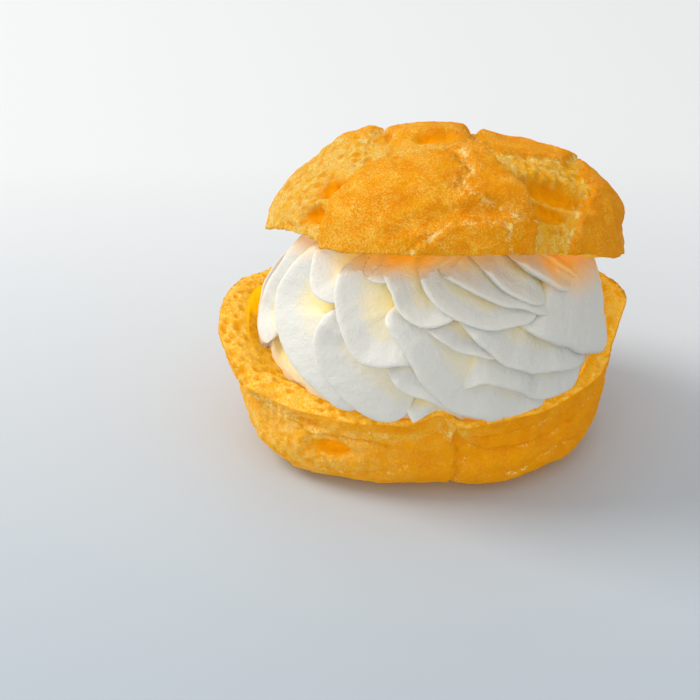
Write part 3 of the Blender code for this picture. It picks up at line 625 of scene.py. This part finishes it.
def make_lid(material):
    dome_rings, cut_rings, inner_rings = 108, 10, 18
    azimuths = np.linspace(0, math.tau, COLUMNS, endpoint=False)
    around, share = np.meshgrid(azimuths, np.linspace(0.97, 0, inner_rings))
    inner = lid_inside(around, share)
    around, share = np.meshgrid(azimuths, np.linspace(1, 0.004, dome_rings))
    outside, crust, torn, hollow = lid_outside(around, share)
    across = np.linspace(0, 1, cut_rings + 2)[1:-1, None, None]
    cut_face = inner[-1] * (1 - across) + outside[0] * across
    rings = np.concatenate([inner, cut_face, outside])
    blank = np.zeros((inner_rings + cut_rings, COLUMNS))
    cut = np.concatenate([blank + 1, 0 * crust])
    cut[:inner_rings] = 0
    inside = np.concatenate([blank + 1, 0 * crust])
    inside[inner_rings:inner_rings + cut_rings] = 0
    crust, torn, hollow = (np.concatenate([blank, value]) for value in (crust, torn, hollow))
    rings, pits = roughen(rings, crust, cut, inside, torn)
    placement = lid_placement()
    crown = rings[-1].mean(axis=0)
    low, high = moved(np.array([(0, 0, LID_HOLLOW), crown]), placement)
    return closed_surface(
        "choux_lid_crust", low, moved(rings, placement), high, material,
        crust=crust, cut=cut, inside=inside, torn=torn, hollow=hollow, pits=pits,
    )


# ---------------------------------------------------------------- cream


def mound_reach(azimuth, elevation):
    """Radius of the mound: a ball that leans out at the front and draws in at the top, the right and round the back."""
    front, rise = -np.sin(azimuth), np.sin(elevation)
    drawn_in = 5.5 * smooth_step((0.35 - front) / 0.7) * smooth_step((rise + 0.4) / 0.7)
    drawn_in += 2.0 * smooth_step((np.cos(azimuth) - 0.75) / 0.25) * smooth_step((rise + 0.05) / 0.3)
    return MOUND_RADIUS + 1.5 * front - 10 * rise + 11.5 * rise * front - drawn_in


def mound_point(azimuth, elevation, depth=0.0):
    reach = mound_reach(azimuth, elevation) - depth
    return np.array(MOUND_CENTRE) + direction(azimuth, elevation) * reach[..., None]


def petal_edge(petal, share):
    """Points of a petal's edge at shares of its way from start to lip: a smooth curve through its stops."""
    rows = list(petal[0])
    if rows[0][1] > LID_COVER:
        rows.insert(0, (rows[0][0], rows[0][1] + LID_REACH))
    stops = np.radians(rows)
    steps = np.linalg.norm(np.diff(stops, axis=0), axis=1)
    reached = np.concatenate([[0], np.cumsum(steps)]) / steps.sum()
    at = np.interp(share, reached, np.arange(len(stops))) + (share - np.clip(share, 0, 1)) * (len(stops) - 1)
    low = np.clip(at.astype(int), 0, len(stops) - 2)
    ends = np.concatenate([[2 * stops[0] - stops[1]], stops, [2 * stops[-1] - stops[-2]]])
    place = between(*(ends[low + i] for i in range(4)), (at - low)[:, None])
    return mound_point(place[:, 0], place[:, 1])


def unit(vectors):
    return vectors / np.linalg.norm(vectors, axis=-1, keepdims=True)


def between(before, start, end, beyond, share):
    """The way from start to end on a smooth curve through four points."""
    bent = (end - before) * share + (2 * before - 5 * start + 4 * end - beyond) * share**2
    return start + (bent + (3 * start - before - 3 * end + beyond) * share**3) / 2


def smooth_loop(corners, parts):
    """A smooth closed curve through corners, with a number of points from each one to the next."""
    turned = [np.roll(np.array(corners, float), shift, axis=0)[:, None] for shift in (1, 0, -1, -2)]
    return between(*turned, (np.arange(parts) / parts)[:, None]).reshape(-1, 2)


def smoothed(rows, reach):
    """Each row's mean with the rows up to a reach before and after it."""
    padded = np.concatenate([np.repeat(rows[:1], reach, axis=0), rows, np.repeat(rows[-1:], reach, axis=0)])
    sums = np.cumsum(np.concatenate([0 * rows[:1], padded]), axis=0)
    return (sums[2 * reach + 1:] - sums[:-2 * reach - 1]) / (2 * reach + 1)


def petal_rings(petal, seed, steps=66, parts=3):
    """A petal's sections: its edge stands out, its face falls back under the next petal, and its lip is round."""
    share = np.linspace(0, 1, steps + 1)
    edge = petal_edge(petal, share)
    along = petal_edge(petal, share + 0.01) - petal_edge(petal, share - 0.01)
    outward = unit(edge - MOUND_CENTRE)
    across = unit(np.cross(outward, unit(smoothed(unit(along), steps // TURN_EASE))))
    length = np.linalg.norm(np.diff(edge, axis=0), axis=1).sum()
    edge = edge + across * (0.4 * noise_at(edge, 5, seed) + 0.1 * noise_at(edge, 1.1, seed))[:, None]
    edge = edge + outward * (0.3 * noise_at(edge, 7, seed + 50))[:, None]
    if petal[0][0][1] < LID_COVER:
        edge = edge - outward * (ROOT_DEPTH * (1 - smooth_step(share * length / ROOT_LENGTH)))[:, None]
    left = (1 - share) * length / LIP_LENGTH
    narrow = np.sqrt(1 - (1 - np.clip(left, 0.02, 1)) ** 2)[:, None]
    breadth, depth = petal[1], 0.5 + 0.5 * petal[1]
    middle = edge + across * LIP_MIDDLE[0] * breadth + outward * LIP_MIDDLE[1] * depth
    rings = []
    for u, v in smooth_loop(PETAL_SECTION, parts):
        place = edge + across * u * breadth + outward * v * depth
        rings.append(middle + narrow * (place - middle))
    return np.stack(rings[::-1], axis=1)


def back_petals():
    """The petals round the side that faces away."""
    found = []
    for azimuth in np.linspace(BACK_START, BACK_END, BACK_PETALS, endpoint=False):
        start = BACK_RISE - BACK_DROP * max(0.0, math.sin(math.radians(azimuth)))
        bend = azimuth + BACK_SWEEP * 0.35, start - BACK_FALL * 0.5
        found.append((((azimuth, start), bend, (azimuth + BACK_SWEEP, start - BACK_FALL)), BACK_BREADTH))
    return found


def core_rings(steps=80, sides=240):
    """The mound below the petals, spread at its bottom to fill the bowl."""
    elevation = np.linspace(-88, 88, steps)[:, None] + np.zeros(sides)
    azimuth = np.linspace(0, math.tau, sides, endpoint=False) + np.zeros((steps, 1))
    skirt = smooth_step((-6 - elevation) / 12)
    points = mound_point(azimuth, np.radians(elevation), CORE_DEPTH + (SKIRT_DEPTH - CORE_DEPTH) * skirt)
    spread = mound_point(azimuth, np.radians(elevation), -FILL_REACH)
    spread[..., 2] = np.minimum(spread[..., 2], FILL_LEVEL)
    return np.where(elevation[..., None] < -25, spread, points)


def held_in(points, to_lid, more=0.0):
    """The points, drawn towards the mound's centre until they are clear of both halves of the bun, and then by
    one more share of the way."""
    centre = np.array(MOUND_CENTRE)
    loose = np.flatnonzero(~(in_bowl(points) & under_lid(points, to_lid)))
    outer = points[loose]
    low, high = np.zeros(len(loose)), np.ones(len(loose))
    for _ in range(12):
        middle = (low + high) / 2
        trial = centre + (outer - centre) * middle[:, None]
        fits = in_bowl(trial) & under_lid(trial, to_lid)
        low, high = np.where(fits, middle, low), np.where(fits, high, middle)
    held = points.copy()
    held[loose] = centre + (outer - centre) * low[:, None] * (1 - more)
    return held


def shell(name, rings, to_lid, material, more):
    """A closed tube through rings of points, held clear of the choux."""
    count, sides = rings.shape[:2]
    faces = tube_faces(count, sides)
    faces.append(tuple(reversed(range(sides))))
    faces.append(tuple((count - 1) * sides + j for j in range(sides)))
    return new_object(name, held_in(rings.reshape(-1, 3), to_lid, more), faces, material)


def largest_part(points, faces):
    """The points and faces of the largest of a mesh's separate surfaces."""
    group = np.arange(len(points))
    pairs = np.array([(a, b) for face in faces for a, b in zip(face, (*face[1:], face[0]))])
    changed = True
    while changed:
        before = group.copy()
        np.minimum.at(group, pairs[:, 0], group[pairs[:, 1]])
        np.minimum.at(group, pairs[:, 1], group[pairs[:, 0]])
        group = group[group]
        changed = (group != before).any()
    kept = np.bincount(group).argmax()
    number = np.cumsum(group == kept) - 1
    faces = [tuple(int(number[i]) for i in face) for face in faces if group[face[0]] == kept]
    return points[group == kept], faces


def united(core, petals):
    """Points and faces of the one surface round a core and its petals."""
    bunch = bpy.data.collections.new("petals")
    for petal in petals:
        bunch.objects.link(petal)
    unite = core.modifiers.new("unite", "BOOLEAN")
    unite.operation = "UNION"
    unite.solver = "MANIFOLD"
    unite.operand_type = "COLLECTION"
    unite.collection = bunch
    bpy.context.view_layer.update()
    merged = core.evaluated_get(bpy.context.evaluated_depsgraph_get()).data
    flat = np.zeros(len(merged.vertices) * 3)
    merged.vertices.foreach_get("co", flat)
    faces = [tuple(face.vertices) for face in merged.polygons]
    for obj in [core, *petals]:
        bpy.data.objects.remove(obj)
    bpy.data.collections.remove(bunch)
    return largest_part(flat.reshape(-1, 3) / MM, faces)


def make_cream(material):
    to_lid = lid_placement().inverted()
    shells = []
    for i, petal in enumerate([*FRONT_PETALS, *back_petals()]):
        shells.append(shell("petal", petal_rings(petal, 60 + i), to_lid, material, 0.0023 * (i % 7)))
    points, faces = united(shell("core", core_rings(), to_lid, material, 0.018), shells)
    outward = points - MOUND_CENTRE
    radius = np.linalg.norm(outward, axis=1)
    toward = outward / radius[:, None]
    reach = mound_reach(np.arctan2(toward[:, 1], toward[:, 0]), np.arcsin(np.clip(toward[:, 2], -1, 1)))
    cream = new_object("whipped_cream", points, faces, material)
    local = moved(points, to_lid)
    around = np.arctan2(local[:, 1], local[:, 0])
    # Painted light: the cream just below the lid's rim gets a glow that fades downwards
    below = lid_edge(around) - local[:, 2]
    strength, fade = along_table(PAINTED_LID_GLOW, around)
    cream.data.set_sharp_from_angle(angle=math.radians(CREASE))
    # Painted shade: the furrows' depth below the mound, on the front only, for the material to tint yellow
    front = smooth_step(0.2 - 2 * toward[:, 1])
    give(cream, depth=(reach - radius) * front, glow=strength * smooth_step(1.2 - below / fade))
    return cream


# ---------------------------------------------------------------- materials


class Graph:
    """A material's node tree, built by calls that return sockets."""

    def __init__(self, name):
        self.material = bpy.data.materials.new(name)
        self.material.use_nodes = True
        self.tree = self.material.node_tree
        self.shader = self.tree.nodes["Principled BSDF"]

    def put(self, socket, value):
        if isinstance(value, bpy.types.NodeSocket):
            self.tree.links.new(value, socket)
        elif isinstance(value, tuple) and len(value) == 3 and socket.type == "RGBA":
            socket.default_value = (*value, 1)
        else:
            socket.default_value = value

    def node(self, kind, output=0, settings=None, **inputs):
        made = self.tree.nodes.new("ShaderNode" + kind)
        for key, value in (settings or {}).items():
            setattr(made, key, value)
        for key, value in inputs.items():
            socket = made.inputs[int(key[1:])] if key[0] == "i" and key[1:].isdigit() else made.inputs[key]
            self.put(socket, value)
        return made.outputs[output]

    def value(self, name):
        return self.node("Attribute", 2, {"attribute_name": name})

    def place(self):
        return self.node("TexCoord", 3)

    def math(self, operation, a, b=0.0, clamp=False):
        return self.node("Math", 0, {"operation": operation, "use_clamp": clamp}, i0=a, i1=b)

    def noise(self, scale, detail=2.0, roughness=0.5, where=None, distortion=0.0):
        return self.node(
            "TexNoise", 0, None, Vector=where or self.place(), Scale=scale, Detail=detail,
            Roughness=roughness, Distortion=distortion,
        )

    def ramp(self, value, low, high):
        """0 below low and 1 above high."""
        return self.node("MapRange", 0, {"clamp": True}, **{"i0": value, "i1": low, "i2": high})

    def mix(self, share, a, b):
        made = self.tree.nodes.new("ShaderNodeMix")
        made.data_type = "RGBA"
        self.put(made.inputs[0], share)
        self.put(made.inputs[6], a)
        self.put(made.inputs[7], b)
        return made.outputs[2]

    def bump(self, height, distance, strength=1.0, normal=None):
        made = self.tree.nodes.new("ShaderNodeBump")
        made.inputs["Strength"].default_value = strength
        made.inputs["Distance"].default_value = distance
        self.put(made.inputs["Height"], height)
        if normal:
            self.put(made.inputs["Normal"], normal)
        return made.outputs[0]

    def finish(self, **inputs):
        for key, value in inputs.items():
            self.put(self.shader.inputs[key.replace("_", " ")], value)
        return self.material


def choux_material():
    """Golden crust with a fine pale speckle, yellow crumb with pale fibres where it has split, and deep yellow
    hollows whose deeper orange is partly painted shade. Painted shade browns the crust towards the right, and a
    painted glow stands in for light that passes through the crumb."""
    g = Graph("choux")
    crust, cut, inside = g.value("crust"), g.value("cut"), g.value("inside")
    torn, hollow, pits = g.value("torn"), g.value("hollow"), g.value("pits")
    # Painted shade: towards the right the crust is made browner and its pale speckle fainter, as where less light falls
    right_side_shade = g.ramp(g.node("SeparateXYZ", 0, None, Vector=g.place()), -0.03, 0.04)
    # Low down the pale speckle fades and the painted glow is made stronger
    low_down = g.ramp(g.node("SeparateXYZ", 2, None, Vector=g.place()), 0.055, 0.015)
    fine = g.noise(2700.0, 3.0, 0.8)
    fibres = g.noise(950.0, 5.0, 0.75, distortion=1.8)
    patches = g.noise(240.0, 3.0, 0.6)
    uneven = g.math("MULTIPLY", g.math("SUBTRACT", patches, 0.5), 0.28)
    uneven = g.math("ADD", uneven, g.math("MULTIPLY", g.math("SUBTRACT", 0.5, right_side_shade), 0.05))
    browning_and_shade = g.math("ADD", g.noise(170.0, 5.0, 0.8), g.math("MULTIPLY", right_side_shade, 0.12))
    browning_and_shade = g.ramp(browning_and_shade, 0.44, 0.70)
    mottle = g.math("ADD", g.math("MULTIPLY", fine, 0.7), g.math("MULTIPLY", fibres, 0.3))
    speckle = g.ramp(g.math("ADD", mottle, uneven), 0.49, 0.62)
    faint = g.math("ADD", g.math("MULTIPLY", right_side_shade, 0.3), g.math("MULTIPLY", low_down, 0.5))
    speckle = g.math("MULTIPLY", speckle, g.math("SUBTRACT", 1.0, faint))
    baked = g.mix(speckle, g.mix(browning_and_shade, CRUST, CRUST_BROWNED_AND_SHADE), SPECKLE)
    wisps = g.ramp(g.math("ADD", fibres, uneven), 0.45, 0.60)
    colour = g.mix(crust, g.mix(wisps, STRETCHED, CRUMB), baked)
    torn = g.math("MULTIPLY", torn, g.math("ADD", 0.6, g.math("MULTIPLY", g.ramp(patches, 0.42, 0.58), 0.4)))
    ragged = g.ramp(g.math("ADD", torn, g.math("MULTIPLY", g.math("SUBTRACT", fibres, 0.5), 3.0)), 0.60, 1.1)
    colour = g.mix(g.math("MULTIPLY", ragged, 0.9), colour, CRUMB)
    # Deep orange in the smooth hollows, stronger where they are deeper: their own colour, partly painted shade
    colour = g.mix(g.ramp(hollow, 0.15, 0.6), colour, HOLLOW_AND_SHADE)
    flecks = g.ramp(g.noise(1400.0, 4.0, 0.7, distortion=1.2), 0.44, 0.58)
    colour = g.mix(cut, colour, g.mix(flecks, STRETCHED, CRUMB))
    # Painted shade: the crumb's pits are darkened towards deep orange
    colour = g.mix(g.math("MULTIPLY", pits, 0.8), colour, HOLLOW_AND_SHADE)
    colour = g.mix(inside, colour, INNER_SKIN)
    height = g.math("ADD", fine, g.math("MULTIPLY", fibres, 1.4))
    even = g.math("SUBTRACT", 1.0, g.math("MULTIPLY", g.math("MAXIMUM", hollow, inside), 0.7))
    # Painted glow: an emission, stronger on the cut and inner faces, torn edges, speckle and low down and weaker in
    # hollows, stands in for light passing through the thin crumb
    painted_glow_weight = g.math("ADD", g.math("MULTIPLY", inside, 2.2), g.math("MULTIPLY", cut, 1.0))
    painted_glow_weight = g.math("ADD", painted_glow_weight, g.math("MULTIPLY", g.math("ADD", low_down, ragged), 0.4))
    painted_glow_weight = g.math("ADD", painted_glow_weight, g.math("MULTIPLY", speckle, g.math("MULTIPLY", crust, 0.8)))
    painted_glow_weight = g.math("SUBTRACT", g.math("ADD", 1.0, painted_glow_weight), g.math("MULTIPLY", hollow, 0.3))
    glow = g.math("MULTIPLY", painted_glow_weight, PAINTED_GLOW_STRENGTH)
    return g.finish(
        Base_Color=colour, Roughness=0.6, Normal=g.bump(g.math("MULTIPLY", height, even), 0.0012, 1.0),
        Subsurface_Weight=0.2, Subsurface_Radius=(1.0, 0.42, 0.10), Subsurface_Scale=0.0010,
        Specular_IOR_Level=0.03, Emission_Color=g.mix(ragged, PAINTED_GLOW_COLOUR, CRUMB), Emission_Strength=glow,
    )


def cream_material():
    """Whipped cream: white with light soaking into it, with painted yellow shade in its furrows and painted light from
    the lid below its rim.
    """
    g = Graph("cream")
    waves = g.noise(420.0, 3.0, 0.55)
    grain = g.noise(2000.0, 3.0, 0.6)
    # Painted shade: the cream turns yellow in its furrows
    deep = g.ramp(g.math("ADD", g.value("depth"), g.math("MULTIPLY", waves, 1.2)), 1.3, 3.9)
    colour = g.mix(g.math("MULTIPLY", deep, 0.85), CREAM, CREAM_FURROW_SHADE)
    # Painted light: the cream below the lid's rim is tinted orange and given a faint emission
    colour = g.mix(g.math("MULTIPLY", g.value("glow"), 0.9), colour, CREAM_PAINTED_GLOW)
    height = g.math("ADD", waves, g.math("MULTIPLY", grain, 0.25))
    return g.finish(
        Base_Color=colour, Roughness=0.45, Normal=g.bump(height, 0.0005, 0.75), Subsurface_Weight=0.3,
        Subsurface_Radius=(1.0, 0.8, 0.55), Subsurface_Scale=0.0018, Specular_IOR_Level=0.3,
        Emission_Color=CREAM_PAINTED_GLOW, Emission_Strength=g.math("MULTIPLY", g.value("glow"), 0.08),
    )


def floor_material():
    """A pale ground with painted shade: darker towards the front, a little lighter towards the back."""
    g = Graph("floor")
    away = g.node("SeparateXYZ", 1, None, Vector=g.place())
    return g.finish(Base_Color=g.mix(g.ramp(away, -0.10, 0.16), FLOOR_FRONT_SHADE, FLOOR_BACK), Roughness=0.5)


# ---------------------------------------------------------------- stage


def make_floor():
    low, high = CAD_BOX
    size = 30 * (high[0] - low[0])
    mesh = bpy.data.meshes.new("floor")
    corners = [(-size, -size, low[2]), (size, -size, low[2]), (size, size, low[2]), (-size, size, low[2])]
    mesh.from_pydata(corners, [], [(0, 1, 2, 3)])
    mesh.materials.append(floor_material())
    floor = bpy.data.objects.new("floor", mesh)
    bpy.context.scene.collection.objects.link(floor)


def add_light(name, place, aim, size, power, colour):
    light = bpy.data.lights.new(name, "AREA")
    light.size = size
    light.energy = power
    light.color = colour
    obj = bpy.data.objects.new(name, light)
    bpy.context.scene.collection.objects.link(obj)
    obj.location = place
    obj.rotation_euler = (Vector(aim) - Vector(place)).to_track_quat("-Z", "Y").to_euler()


def light_stage():
    world = bpy.data.worlds.new("studio")
    bpy.context.scene.world = world
    world.use_nodes = True
    back = world.node_tree.nodes["Background"]
    back.inputs[0].default_value = (0.97, 0.99, 1.0, 1)
    back.inputs[1].default_value = 0.84
    add_light("key", (-1.25, 0.3, 1.2), (0, 0, 0.03), 0.9, 26.0, (1.0, 0.97, 0.92))
    add_light("fill", (-0.45, -1.3, 0.25), (0, 0, 0.03), 1.0, 7.5, (1.0, 0.96, 0.90))


def add_camera():
    camera = bpy.data.cameras.new("camera")
    camera.lens = CAMERA_LENS
    camera.sensor_width = 36
    camera.clip_start = 0.01
    obj = bpy.data.objects.new("camera", camera)
    bpy.context.scene.collection.objects.link(obj)
    obj.location = Vector(CAMERA_PLACE) * MM
    obj.rotation_euler = (math.radians(90 - CAMERA_PITCH), 0, 0)
    bpy.context.scene.camera = obj


def main():
    choux = choux_material()
    base = make_base(choux)
    lid = make_lid(choux)
    cream = make_cream(cream_material())
    for piece, node, slot in ((base, "choux_base", "choux"), (lid, "choux_lid", "choux"), (cream, "cream", "cream")):
        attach(piece, "root")
        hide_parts(node)
    make_floor()
    light_stage()
    add_camera()
    bpy.context.scene.view_settings.view_transform = "Standard"


main()
